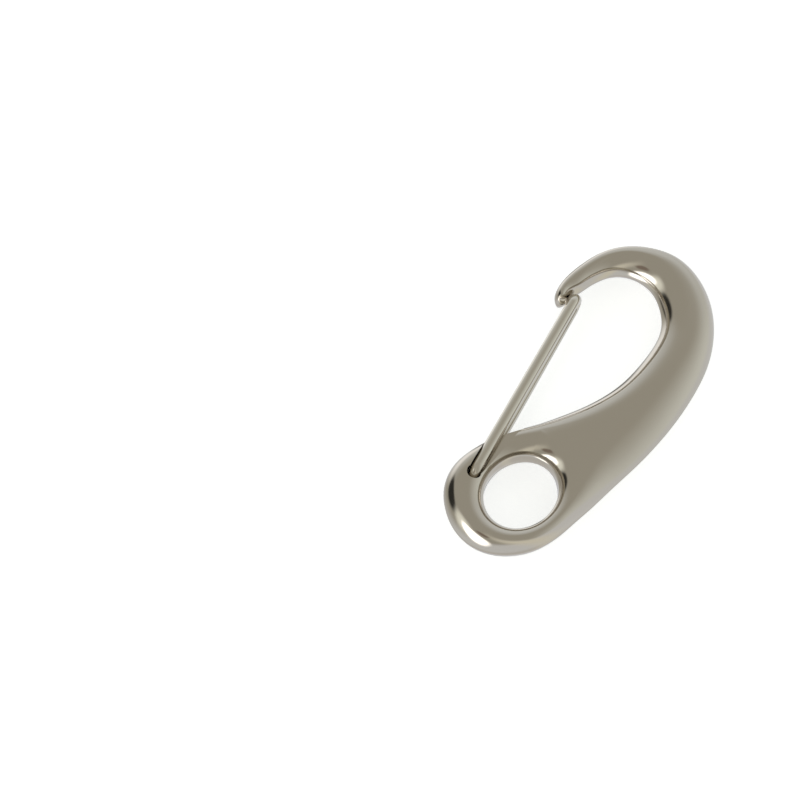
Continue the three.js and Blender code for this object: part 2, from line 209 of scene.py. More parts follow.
class WireGateSizes(bpy.types.PropertyGroup):
    """Sizes and finish of the bent wire gate."""

    wire: length("Wire", "Diameter of the wire", 3.1 * mm)
    slot_clearance: length(
        "Slot clearance", "Room between a leg at rest and the outer wall of its slot", 0.05 * mm
    )
    clearance: length("Clearance", "Room round the wire in its holes, slots and seat", 0.3 * mm)
    leg_inset: length(
        "Leg inset", "How far the legs lie below the faces of the body at their root", 0.05 * mm
    )
    tip_spacing: length(
        "Tip spacing", "Between the legs where the gate turns back, centre to centre", 4.8 * mm
    )
    root_bend: length("Root bend", "Centre line radius of the turns into the holes", 2.4 * mm)
    end_gap: length("End gap", "Between the two ends of the wire inside the body", 0.7 * mm)
    steel: colour("Steel", "Colour of the drawn wire", "#d6d1c7")


class StudioSettings(bpy.types.PropertyGroup):
    """The floor, the light and the camera."""

    lens: bpy.props.FloatProperty(
        name="Lens", description="Focal length", default=81, min=1, subtype="DISTANCE_CAMERA"
    )
    distance: length("Distance", "From the camera to the middle of the picture", 466.65 * mm)
    elevation: bearing("Elevation", "Camera above the horizon", 64.5)
    turn: bearing("Turn", "How far the hook is turned in the picture", 55.75)
    eye_right: length("Eye right", "How far the eye lies right of the picture's middle", 30.496 * mm)
    eye_near: length("Eye near", "How far the eye lies nearer than the picture's middle", 26.758 * mm)
    floor: colour("Floor", "Colour of the studio floor", "#f4f4f4")
    room: colour("Room", "Colour of the room overhead", "#b2afa5")


def oval(way, half_long, half_wide):
    """Distance from the centre of an oval to its edge in a direction."""
    return half_long * half_wide / math.hypot(half_long * math.sin(way), half_wide * math.cos(way))


def smooth_loop(points):
    """A closed curve through the points without a kink in its curvature: a function of the place, counted in
    points. The bend at each point is solved for, so that the curve's slope and bend run through it."""
    ring = np.array(points, float)
    count = len(ring)
    after = np.roll(ring, -1, axis=0)
    span = np.linalg.norm(after - ring, axis=1)
    before = np.roll(span, 1)
    rule = np.zeros((count, count))
    goal = np.zeros((count, 2))
    slope = (after - ring) / span[:, None]
    for i in range(count):
        rule[i, i - 1] += before[i]
        rule[i, i] += 2 * (before[i] + span[i])
        rule[i, (i + 1) % count] += span[i]
        goal[i] = 6 * (slope[i] - slope[i - 1])
    bend = np.linalg.solve(rule, goal)

    def at(place):
        place = np.asarray(place, float) % count
        low = np.minimum(place.astype(int), count - 1)
        high = (low + 1) % count
        width = span[low][..., None]
        share = (place - low)[..., None]
        left, right = (1 - share) * width, share * width
        return (
            bend[low] * left**3 / (6 * width)
            + bend[high] * right**3 / (6 * width)
            + (ring[low] / width - bend[low] * width / 6) * left
            + (ring[high] / width - bend[high] * width / 6) * right
        )

    return at


def nearest(points, line, whole, closed=True, widths=None):
    """Distance from each point to a line, and the place on the line, where the line is whole units long. With
    widths along the line, the distance is a share of the width there, and the nearest place is the one with
    the least."""
    if widths is None:
        widths = np.ones(len(line))
    widen = np.append(widths[1:], widths[0]) - widths
    ends = np.vstack([line[1:], line[:1]])
    if not closed:
        line, ends, widths, widen = line[:-1], ends[:-1], widths[:-1], widen[:-1]
    step = ends - line
    square = (step**2).sum(1)
    best = np.zeros(len(points))
    place = np.zeros(len(points))
    batch = 512  # points measured at once, which keeps the tables small
    for start in range(0, len(points), batch):
        some = points[start : start + batch]
        along = (((some[:, None] - line[None]) * step[None]).sum(2) / square[None]).clip(0, 1)
        foot = line[None] + along[..., None] * step[None]
        gap = np.linalg.norm(some[:, None] - foot, axis=2) / (widths[None] + along * widen[None])
        index = gap.argmin(1)
        rows = np.arange(len(some))
        best[start : start + batch] = gap[rows, index]
        place[start : start + batch] = index + along[rows, index]
    return best, place * whole / len(line)


class BodyForm:
    """The shape of the cast body, worked out from its sizes: its outline, its bore and its faces."""

    samples = 14  # points of the measured outline between two control points
    bore_samples = 720  # points of the measured bore
    fittings = 3  # how many times the outline is drawn and brought to its size
    eye_rows = 3  # rows of the edges that run beside the bore
    fade = 2.6  # how softly a roll leaves the flat face: 2 is an ellipse, and more bends reflections smoothly
    keel = 1.45  # how a roll meets the mid-plane: 2 is an ellipse, and less draws the rim to a narrower edge
    mouth = 1.2  # the same where the lip meets the bore
    fit = 1 - 4e-5  # how much of its box the outline fills, so that nothing lies outside by rounding
    rolled_share = 0.97  # the two rolls of one section take up this much of its width at most
    wall_share = 0.95  # a roll and the lip across the wall from it take up this much of the wall at most
    on_edge = 1e-5  # a point this near the outline, as a share of the roll's width, lies on it
    easing = 5 * mm  # over how much of an edge the widths of its roll blend

    def __init__(self, sizes):
        self.sizes = sizes
        self.half_long = sizes.eye_length / 2
        self.half_wide = sizes.eye_width / 2
        self.half = sizes.thickness / 2
        first, last = EYE_END_ANGLES
        end = []
        for i, share in enumerate(EYE_WALL_SHARES):
            way = first + (last - first) * i / (len(EYE_WALL_SHARES) - 1)
            reach = oval(way, self.half_long, self.half_wide) + sizes.eye_wall * share
            end.append((math.cos(way) * reach, math.sin(way) * reach))
        self.reach = sizes.hook_length + min(x for x, _ in end)
        self.width = sizes.hook_width
        for _ in range(self.fittings):
            self._draw(end)
            low, high = self.outline.min(0), self.outline.max(0)
            self.reach *= self.fit * sizes.hook_length / (high[0] - low[0])
            self.width *= self.fit * sizes.hook_width / (high[1] - low[1])
        angles = np.arange(self.bore_samples) * 2 * math.pi / self.bore_samples
        radii = np.array([oval(a, self.half_long, self.half_wide) for a in angles])
        self.bore = np.stack([np.cos(angles) * radii, np.sin(angles) * radii], 1)
        self.rolls = self._eased(self._rolls(), self.outline)
        self.lips = self._eased(self._lips(), self.bore)

    def _draw(self, end):
        """Draws the outline: round the eye's end, along the back edge to the nose, and back by the gullet."""
        placed = lambda along, across: (along * self.reach, across * self.width)
        gullet = [placed(a, b) for a, b, _, _ in EDGE_SHARES]
        back = [placed(a, b) for _, _, a, b in EDGE_SHARES]
        tip = [placed(a, b) for a, b in NOSE_TIP_SHARES]
        self.gullet_end = gullet[-1]
        for from_end, share in SEAT_SHARES:
            x, y = gullet[-from_end]
            gullet[-from_end] = (x, y + share * self.sizes.seat_depth)
        self.rows = len(EDGE_SHARES)
        self.last_eye = len(end) - 1
        self.first_nose = self.last_eye + self.rows + 1
        self.last_nose = self.first_nose + len(tip) - 1
        control = end + back + tip + gullet[::-1]
        self.count = len(control)
        self.edge = smooth_loop(control)
        self.outline = self.edge(np.arange(0, self.count, 1 / self.samples))

    def back_place(self, row):
        """Where a row of the edges meets the back edge."""
        return self.last_eye + row

    def gullet_place(self, row):
        """Where a row of the edges meets the gullet edge."""
        return self.last_nose + (self.rows + 1 - row)

    def _rolls(self):
        """Width of the roll at each control point, held within the metal that is there."""
        s = self.sizes
        named = {"eye": s.eye_roll, "back": s.back_roll, "gullet": s.gullet_roll}
        named.update(throat=s.throat_roll, bow=s.bow_roll, nose=s.nose_roll)
        blend = lambda entry: named[entry[0]] * (1 - entry[2]) + named[entry[1]] * entry[2]
        rolls = np.zeros(self.count)
        rolls[: self.last_eye + 1] = s.eye_roll
        rolls[self.first_nose : self.last_nose + 1] = s.nose_roll
        for row in range(1, self.rows + 1):
            rolls[self.back_place(row)] = blend(BACK_ROLLS[row])
            rolls[self.gullet_place(row)] = blend(GULLET_ROLLS[row])
        points = self.edge(np.arange(self.count))
        wall, _ = nearest(points, self.bore, self.bore_samples)
        rolls = np.minimum(rolls, self.wall_share * wall * rolls / (rolls + s.eye_lip))
        for row in range(self.eye_rows + 1, self.rows + 2):
            pair = [self.back_place(row), self.gullet_place(row)]
            width = np.linalg.norm(points[pair[0]] - points[pair[1]])
            rolls[pair] = self.shared(rolls[pair], width)
        return rolls

    def shared(self, rolls, width):
        """The rolls of the two edges of one section, held within its width."""
        return rolls * min(1, self.rolled_share * width / rolls.sum())

    def _lips(self):
        """Width of the lip round the bore, held within the metal that is there."""
        wall, place = nearest(self.bore, self.outline, self.count)
        rolls = self.along(self.rolls, place)
        lip = self.sizes.eye_lip
        return np.minimum(lip, self.wall_share * wall * lip / (rolls + lip))

    def _eased(self, values, line):
        """Values given at equal steps round a closed line, laid out over its points and blended along it."""
        count = len(line)
        ring = np.append(values, values[0])
        spread = np.interp(np.arange(count) * len(values) / count, np.arange(len(ring)), ring)
        step = np.linalg.norm(np.roll(line, -1, axis=0) - line, axis=1)
        run = np.cumsum(step) - step
        gap = np.abs(run[:, None] - run[None])
        gap = np.minimum(gap, step.sum() - gap)
        weight = np.exp(-((gap / self.easing) ** 2)) * step[None]
        return (weight @ spread) / weight.sum(1)

    def along(self, values, place):
        """Values at places on the outline, counted in control points, or on the bore, in samples."""
        whole = self.count if len(values) == len(self.outline) else self.bore_samples
        ring = np.append(values, values[0])
        return np.interp(np.asarray(place) * len(values) / whole, np.arange(len(ring)), ring)

    def rise(self, share, keel):
        """Height of a roll, as a share of its full height, where it has gone this share of its width."""
        left = 1 - np.clip(share, 0, 1)
        return np.maximum(1 - left**self.fade, 0) ** (1 / keel)

    def crowned(self, points):
        """How far the face has fallen at each point on its way from mid-stem to the back edge."""
        start, stop = self.back_place(0), self.back_place(self.rows + 1)
        back = self.edge(np.linspace(start, stop, (stop - start) * self.samples + 1))
        gap, place = nearest(points, back, self.rows + 1, closed=False)
        share = np.interp(place, np.arange(len(CROWNING)), CROWNING)
        left = 1 - np.clip(gap / self.sizes.crown_width, 0, 1)
        return self.sizes.crown * share * left**self.fade

    def heights(self, points, half):
        """Height of the face above the mid-plane at each point, where the body is twice half thick: it rolls
        down to the outline and, less far, to the bore."""
        out, _ = nearest(points, self.outline, self.count, widths=self.rolls)
        rolled = self.rise(out, self.keel)
        inside, bore_place = nearest(points, self.bore, self.bore_samples)
        lip = self.along(self.lips, bore_place)
        drop = self.sizes.lip_depth * lip / self.sizes.eye_lip * (1 - self.rise(inside / lip, self.mouth))
        height = (half - self.crowned(points)) * rolled - drop * (inside < lip)
        return np.maximum(height, 0) * (out > self.on_edge)

    def half_at(self, row):
        """Half the thickness at a row of the edges."""
        thin = np.interp(row, np.arange(len(THINNING)), THINNING)
        return (self.sizes.thickness + (self.sizes.nose_thickness - self.sizes.thickness) * thin) / 2


def deselect():
    """Nothing is selected and no object is in edit mode."""
    if bpy.context.object and bpy.context.object.mode != "OBJECT":
        bpy.ops.object.mode_set(mode="OBJECT")
    bpy.ops.object.select_all(action="DESELECT")


def only(obj):
    """Only this object is selected, and it is the active one."""
    deselect()
    obj.select_set(True)
    bpy.context.view_layer.objects.active = obj


def face_outwards(obj):
    """Turns the faces of a closed mesh outwards."""
    only(obj)
    bpy.ops.object.mode_set(mode="EDIT")
    bpy.ops.mesh.select_all(action="SELECT")
    bpy.ops.mesh.normals_make_consistent(inside=False)
    bpy.ops.object.mode_set(mode="OBJECT")


def apply_modifier(obj, kind, **settings):
    """Adds a modifier with its settings and applies it."""
    only(obj)
    modifier = obj.modifiers.new(kind.title(), kind)
    for name, value in settings.items():
        setattr(modifier, name, value)
    bpy.ops.object.modifier_apply(modifier=modifier.name)


def laid_sheet(name, across, up, place):
    """A grid of so many faces across and up. Its points go where place says, given column and row."""
    deselect()
    bpy.ops.mesh.primitive_grid_add(x_subdivisions=across, y_subdivisions=up, size=1)
    sheet = bpy.context.object
    sheet.name = name
    vertices = sheet.data.vertices
    flat = np.zeros(len(vertices) * 3)
    vertices.foreach_get("co", flat)
    flat = flat.reshape(-1, 3)
    column = np.rint((flat[:, 0] + 0.5) * across).astype(int)
    row = np.rint((flat[:, 1] + 0.5) * up).astype(int)
    vertices.foreach_set("co", np.ascontiguousarray(place(column, row)).ravel())
    sheet.data.update()
    return sheet


def cut(obj, cutter):
    """Takes the cutter out of the object, and the cutter away."""
    faces = len(obj.data.polygons)
    apply_modifier(obj, "BOOLEAN", operation="DIFFERENCE", solver="EXACT", object=cutter)
    if len(obj.data.polygons) in (0, faces):
        raise RuntimeError(f"{cutter.name} cut nothing out of {obj.name}, or all of it")
    bpy.data.objects.remove(cutter)


def node(tree, kind, inputs=(), links=(), **settings):
    """Adds a node with its settings, its inputs' values, and links from other nodes' outputs."""
    made = tree.nodes.new(kind)
    for name, value in settings.items():
        setattr(made, name, value)
    for name, value in dict(inputs).items():
        made.inputs[name].default_value = value
    for name, source in dict(links).items():
        tree.links.new(source, made.inputs[name])
    return made


def maths(tree, operation, inputs=(), links=()):
    """Adds a maths node, and gives its output."""
    return node(tree, "ShaderNodeMath", inputs, links, operation=operation).outputs[0]


def polished_steel(name, base, roughness, wave, grain):
    """Bright stainless steel. Its surface isn't quite flat: shallow waves of the given depth bend reflections
    a little, a grain of the given depth softens their edges, and patches are a little rougher or smoother
    than the rest."""
    material = bpy.data.materials.new(name)
    material.use_nodes = True
    tree = material.node_tree
    tree.nodes.clear()
    place = node(tree, "ShaderNodeTexCoord").outputs["Object"]
    smooth = {"Scale": 1 / WAVE_LENGTH, "Detail": 2.0, "Roughness": 0.35}
    waves = node(tree, "ShaderNodeTexNoise", smooth, {"Vector": place})
    marks = node(tree, "ShaderNodeTexNoise", {"Scale": 1 / MARK_LENGTH, "Detail": 3.0}, {"Vector": place})
    broad = node(
        tree, "ShaderNodeBump", {"Strength": 1.0, "Distance": wave}, {"Height": waves.outputs["Fac"]}
    )
    fine = node(
        tree,
        "ShaderNodeBump",
        {"Strength": 1.0, "Distance": grain},
        {"Height": marks.outputs["Fac"], "Normal": broad.outputs["Normal"]},
    )
    patches = node(tree, "ShaderNodeTexNoise", {"Scale": 1 / PATCH_LENGTH, "Detail": 2.0}, {"Vector": place})
    least, most = roughness * (1 - PATCHINESS), roughness * (1 + PATCHINESS)
    spread = node(
        tree,
        "ShaderNodeMapRange",
        {"From Min": NOISE_LOW, "From Max": NOISE_HIGH, "To Min": least, "To Max": most},
        {"Value": patches.outputs["Fac"]},
    )
    shader = node(
        tree,
        "ShaderNodeBsdfPrincipled",
        {"Base Color": (*base, 1), "Metallic": 1.0},
        {"Roughness": spread.outputs["Result"], "Normal": fine.outputs["Normal"]},
    )
    node(tree, "ShaderNodeOutputMaterial", links={"Surface": shader.outputs["BSDF"]})
    return material


class HOOK_OT_body(bpy.types.Operator):
    """Model the cast body of the hook"""

    bl_idname = "hook.body"
    bl_label = "Hook body"

    join_row = 3.5  # the eye's part of the face ends at this row of the edges, and the bar begins
    roll_steps = 14  # faces across a roll
    land_steps = 6  # across the flat between two rolls
    lip_steps = 12  # across the lip of the bore
    steps_per_row = 12  # along the bar, from row to row
    tip_steps = 24  # along the bar, over the rounded end of the nose
    rim_step = 0.55 * mm  # along the outside of the eye
    rim_samples = 4000  # points that the outside of the eye is measured with
    lip_limit = 0.5  # the most of a spoke that its lip takes up
    roll_limit = 0.98  # the most of the rest of the spoke that its roll takes up
    weld = 0.001 * mm  # points nearer to each other than this are one
    speck = 0.0001 * mm  # faces narrower than this are dissolved
    crease = math.radians(32)  # the rims of the holes and slots are sharper than this, and the rolls aren't
    roughness = 0.11
    wave_depth = 0.09 * mm
    grain_depth = 0.0014 * mm

    def execute(self, context):
        sizes = context.scene.hook_body
        form = BodyForm(sizes)
        eye = self.eye_face(form)
        bar = self.bar_face(form)
        only(bar)
        eye.select_set(True)
        bpy.ops.object.join()
        body = bpy.context.object
        body.name = "cast_body"
        bpy.ops.object.mode_set(mode="EDIT")
        bpy.ops.mesh.select_all(action="SELECT")
        bpy.ops.mesh.remove_doubles(threshold=self.weld)
        bpy.ops.mesh.dissolve_degenerate(threshold=self.speck)
        bpy.ops.mesh.normals_make_consistent(inside=False)
        bpy.ops.object.mode_set(mode="OBJECT")
        mirror = {"use_axis": (False, False, True), "use_clip": True, "use_mirror_merge": True}
        apply_modifier(body, "MIRROR", merge_threshold=self.weld, **mirror)
        face_outwards(body)
        body.data.transform(Matrix.Translation(frame_shift(form)))
        only(body)
        bpy.ops.object.shade_smooth()
        for cutter in gate_room(context, form):
            cut(body, cutter)
        only(body)
        bpy.ops.object.shade_smooth_by_angle(angle=self.crease)
        # An investment casting, ground and then buffed on a soft wheel, which leaves the longest waves
        steel = polished_steel(
            "buffed cast stainless steel", sizes.steel, self.roughness, self.wave_depth, self.grain_depth
        )
        body.data.materials.clear()
        body.data.materials.append(steel)
        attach(body, "hook")
        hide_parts("hook_body")
        return {"FINISHED"}

    def section(self, form, row):
        """The ends of a row on the gullet edge and the back edge, the width between them, and the distances
        of the points along it. Rows past the last one of the edges run over the rounded end of the nose."""
        gullet_place, back_place = form.gullet_place(row), form.back_place(row)
        if row > form.rows + 1:
            share = row - form.rows - 1
            reach = (form.last_nose - form.first_nose) / 2
            gullet_place = form.last_nose - reach * share
            back_place = form.first_nose + reach * share
        ends = form.edge(np.array([gullet_place, back_place]))
        width = np.linalg.norm(ends[1] - ends[0])
        rolls = form.shared(form.along(form.rolls, np.array([gullet_place, back_place])), width)
        return ends, width, self.spaced(rolls[0], rolls[1], width, self.roll_steps)

    def spaced(self, start, end, width, start_steps):
        """Distances from 0 to width, closest at both ends, over a roll at each and the flat between them."""
        eased = lambda steps: 1 - np.cos(np.linspace(0, math.pi / 2, steps + 1))
        opening = start * eased(start_steps)
        closing = (width - end * eased(self.roll_steps))[::-1]
        flat = np.linspace(start, width - end, self.land_steps + 1)[1:-1]
        return np.concatenate([opening, flat, closing])

    def bar_face(self, form):
        """The upper face of the stem, the bow and the nose, row by row."""
        whole = np.arange(self.join_row, form.rows + 1, 1 / self.steps_per_row)
        tip = form.rows + 1 + np.sin(np.linspace(0, math.pi / 2, self.tip_steps + 1))
        rows = np.concatenate([whole, tip])
        points, halves = [], []
        for row in rows:
            ends, width, gaps = self.section(form, row)
            share = gaps / width if width > self.weld else np.linspace(0, 1, len(gaps))
            points.append(ends[0] + (ends[1] - ends[0]) * share[:, None])
            halves.append(np.full(len(gaps), form.half_at(min(row, form.rows + 1))))
        points, halves = np.array(points), np.array(halves)
        shape = points.shape[:2]
        heights = form.heights(points.reshape(-1, 2), halves.ravel()).reshape(shape)
        heights[:, 0] = heights[:, -1] = 0
        heights[-1] = 0
        sheet = np.dstack([points, heights])
        return laid_sheet("bar", shape[0] - 1, shape[1] - 1, lambda column, row: sheet[column, row])

    def eye_face(self, form):
        """The upper face of the eye, in spokes from the bore to the outline, or to where the bar begins."""
        ends, width, gaps = self.section(form, self.join_row)
        line = ends[0] + (ends[1] - ends[0]) * (gaps / width)[:, None]
        start = form.back_place(self.join_row)
        stop = form.gullet_place(self.join_row) - form.count
        places = np.linspace(start, stop, self.rim_samples)
        fine = form.edge(places)
        run = np.concatenate([[0], np.cumsum(np.linalg.norm(np.diff(fine, axis=0), axis=1))])
        steps = int(run[-1] / self.rim_step)
        rim = form.edge(np.interp(np.linspace(0, run[-1], steps + 1), run, places))
        loop = np.vstack([line[:-1], rim])
        on_rim = np.arange(len(loop)) >= len(line) - 1
        angles = np.arctan2(loop[:, 1], loop[:, 0])
        radii = np.array([oval(a, form.half_long, form.half_wide) for a in angles])
        inner = np.stack([np.cos(angles) * radii, np.sin(angles) * radii], 1)
        _, bore_place = nearest(inner, form.bore, form.bore_samples)
        lips = form.along(form.lips, bore_place)
        _, rim_place = nearest(loop, form.outline, form.count)
        rolls = form.along(form.rolls, rim_place)
        spokes = []
        for i, (foot, end) in enumerate(zip(inner, loop)):
            wide = np.linalg.norm(end - foot)
            lip = min(lips[i], self.lip_limit * wide)
            roll = min(rolls[i], self.roll_limit * (wide - lip))
            # Two points at the bore: at the mid-plane, and where the lip ends
            gaps = np.concatenate([[0], self.spaced(lip, roll, wide, self.lip_steps)])
            spokes.append(foot + (end - foot) * (gaps / wide)[:, None])
        points = np.array(spokes)
        shape = points.shape[:2]
        heights = form.heights(points.reshape(-1, 2), form.half).reshape(shape)
        heights[:, 0] = 0
        heights[on_rim, -1] = 0
        sheet = np.dstack([points, heights])
        return laid_sheet("eye", shape[0] - 1, shape[1] - 1, lambda column, row: sheet[column, row])


def frame_shift(form):
    """How far the form, drawn round the eye's centre at the mid-plane, moves to lie where the solid does."""
    low, high = form.outline.min(0), form.outline.max(0)
    return Vector((-(low[0] + high[0]) / 2, -(low[1] + high[1]) / 2, form.half))


def gate_line(context, form):
    """Where the gate turns, which way it lies and how long it is to its tip, seen from above."""
    wire = context.scene.wire_gate
    seat = wire.wire / 2 + wire.clearance
    shift = frame_shift(form)
    pivot = Vector(hinge["pos_m"][:2])
    x, y = form.gullet_end
    end = Vector((x + shift.x, y + shift.y - seat + form.sizes.seat_depth))
    line = end - pivot
    return pivot, math.atan2(line.y, line.x), line.length


def prism(name, points, low, high):
    """A solid over a flat outline, from a height given for each of its points up to one height."""
    lift = 1  # far above the hook, which tells the raised points from the others
    deselect()
    bpy.ops.mesh.primitive_circle_add(vertices=len(points), radius=1, fill_type="NGON")
    solid = bpy.context.object
    solid.name = name
    for vertex, (x, y), z in zip(solid.data.vertices, points, low):
        vertex.co = (x, y, z)
    bpy.ops.object.mode_set(mode="EDIT")
    bpy.ops.mesh.select_all(action="SELECT")
    bpy.ops.mesh.extrude_region_move(TRANSFORM_OT_translate={"value": (0, 0, lift)})
    bpy.ops.object.mode_set(mode="OBJECT")
    for vertex in solid.data.vertices:
        if vertex.co.z > lift / 2:
            vertex.co.z = high
    face_outwards(solid)
    return solid


def gate_room(context, form):
    """What the gate needs cut out of the body: the slots that its legs swing in, and its holes. A slot's
    floor slopes as the leg does, and its outer wall is snug to the leg at rest."""
    slot_reach = 28 * mm  # from the hole, past the edge of the body
    arc_points, hole_sides = 25, 64
    wire = context.scene.wire_gate
    radius = wire.wire / 2
    seat = radius + wire.clearance
    pivot, way, reach = gate_line(context, form)
    swing = math.radians(hinge["range_deg"][1])
    half = form.half
    root = half - wire.leg_inset - radius
    slope = (root - wire.tip_spacing / 2) / (reach - wire.tip_spacing / 2 - wire.root_bend)
    floor = root - seat + slope * wire.root_bend
    turned = lambda x, y, by: (x * math.cos(by) - y * math.sin(by), x * math.sin(by) + y * math.cos(by))
    snug = radius + wire.slot_clearance
    shape = [turned(slot_reach, snug, 0), turned(slot_reach, -seat, -swing)]
    arc = np.linspace(-math.pi / 2 - swing, -1.5 * math.pi, arc_points)
    shape += [(math.cos(a) * snug, math.sin(a) * snug) for a in arc]
    middle = (math.cos(-swing / 2), math.sin(-swing / 2))
    spots = [Vector(turned(x, y, way)) + pivot for x, y in shape]
    lows = [floor - slope * (x * middle[0] + y * middle[1]) for x, y in shape]
    upper = prism("slot", spots, [half + low for low in lows], half * 3)
    only(upper)
    bpy.ops.object.duplicate()
    lower = bpy.context.object
    lower.data.transform(Matrix.Translation((0, 0, 2 * half)) @ Matrix.Scale(-1, 4, (0, 0, 1)))
    face_outwards(lower)
    deselect()
    bpy.ops.mesh.primitive_cylinder_add(
        vertices=hole_sides, radius=seat, depth=half * 4, location=(pivot.x, pivot.y, half)
    )
    bpy.ops.object.transform_apply(location=True, rotation=True, scale=True)
    return [upper, lower, bpy.context.object]


class HOOK_OT_gate(bpy.types.Operator):
    """Bend the wire gate"""

    bl_idname = "hook.gate"
    bl_label = "Wire gate"

    sides = 40  # faces round the wire
    leg_steps = 24  # along a leg
    root_steps = 20  # round the turn into a hole
    tip_steps = 40  # round the turn at the tip
    crease = math.radians(40)  # the cut ends of the wire are sharper than this
    roughness = 0.11
    wave_depth = 0.01 * mm
    grain_depth = 0.001 * mm

    def execute(self, context):
        wire = context.scene.wire_gate
        form = BodyForm(context.scene.hook_body)
        pivot, way, reach = gate_line(context, form)
        radius = wire.wire / 2
        half = form.half
        root = half - wire.leg_inset - radius
        tip = wire.tip_spacing / 2
        slant = math.atan2(root - tip, reach - tip - wire.root_bend)
        corner = -math.pi / 2 - slant
        into_hole = Vector((0, 0, -(root - wire.root_bend - wire.end_gap / 2)))
        deselect()
        bpy.ops.mesh.primitive_circle_add(vertices=self.sides, radius=radius, fill_type="NGON")
        gate = bpy.context.object
        gate.name = "bent_wire"
        bpy.ops.object.mode_set(mode="EDIT")
        bpy.ops.mesh.select_all(action="SELECT")
        bpy.ops.transform.translate(value=(0, 0, -wire.end_gap / 2))
        self.pull(into_hole, 1)
        bend = Vector((wire.root_bend, 0, -(root - wire.root_bend)))
        self.turn(bend, corner, self.root_steps)
        start = bend + self.rotated(Vector((-wire.root_bend, 0, 0)), corner)
        end = Vector((reach - tip, 0, 0)) + self.rotated(Vector((-tip, 0, 0)), corner)
        self.pull(end - start, self.leg_steps)
        self.turn(Vector((reach - tip, 0, 0)), -math.pi + 2 * slant, self.tip_steps)
        back = Vector((start.x, 0, -start.z)) - Vector((end.x, 0, -end.z))
        self.pull(back, self.leg_steps)
        self.turn(Vector((bend.x, 0, -bend.z)), corner, self.root_steps)
        self.pull(into_hole, 1)
        face_outwards(gate)
        gate.data.transform(Matrix.Translation((pivot.x, pivot.y, half)) @ Matrix.Rotation(way, 4, "Z"))
        only(gate)
        bpy.ops.object.shade_smooth_by_angle(angle=self.crease)
        # Wire drawn through a die and polished: rounder than the casting, so that its waves are much
        # shallower
        steel = polished_steel(
            "bright drawn stainless wire", wire.steel, self.roughness, self.wave_depth, self.grain_depth
        )
        gate.data.materials.clear()
        gate.data.materials.append(steel)
        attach(gate, "gate")
        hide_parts("wire_gate")
        return {"FINISHED"}

    @staticmethod
    def rotated(arm, by):
        """The arm, turned about Y."""
        return Matrix.Rotation(by, 3, "Y") @ arm

    @staticmethod
    def pull(way, steps):
        """Pulls the wire's end straight on, in equal steps."""
        for _ in range(steps):
            bpy.ops.mesh.extrude_region_move(TRANSFORM_OT_translate={"value": way / steps})

    @staticmethod
    def turn(centre, by, steps):
        """Bends the wire's end round a centre, about Y."""
        bpy.ops.mesh.spin(steps=steps, angle=-by, center=centre, axis=(0, 1, 0))


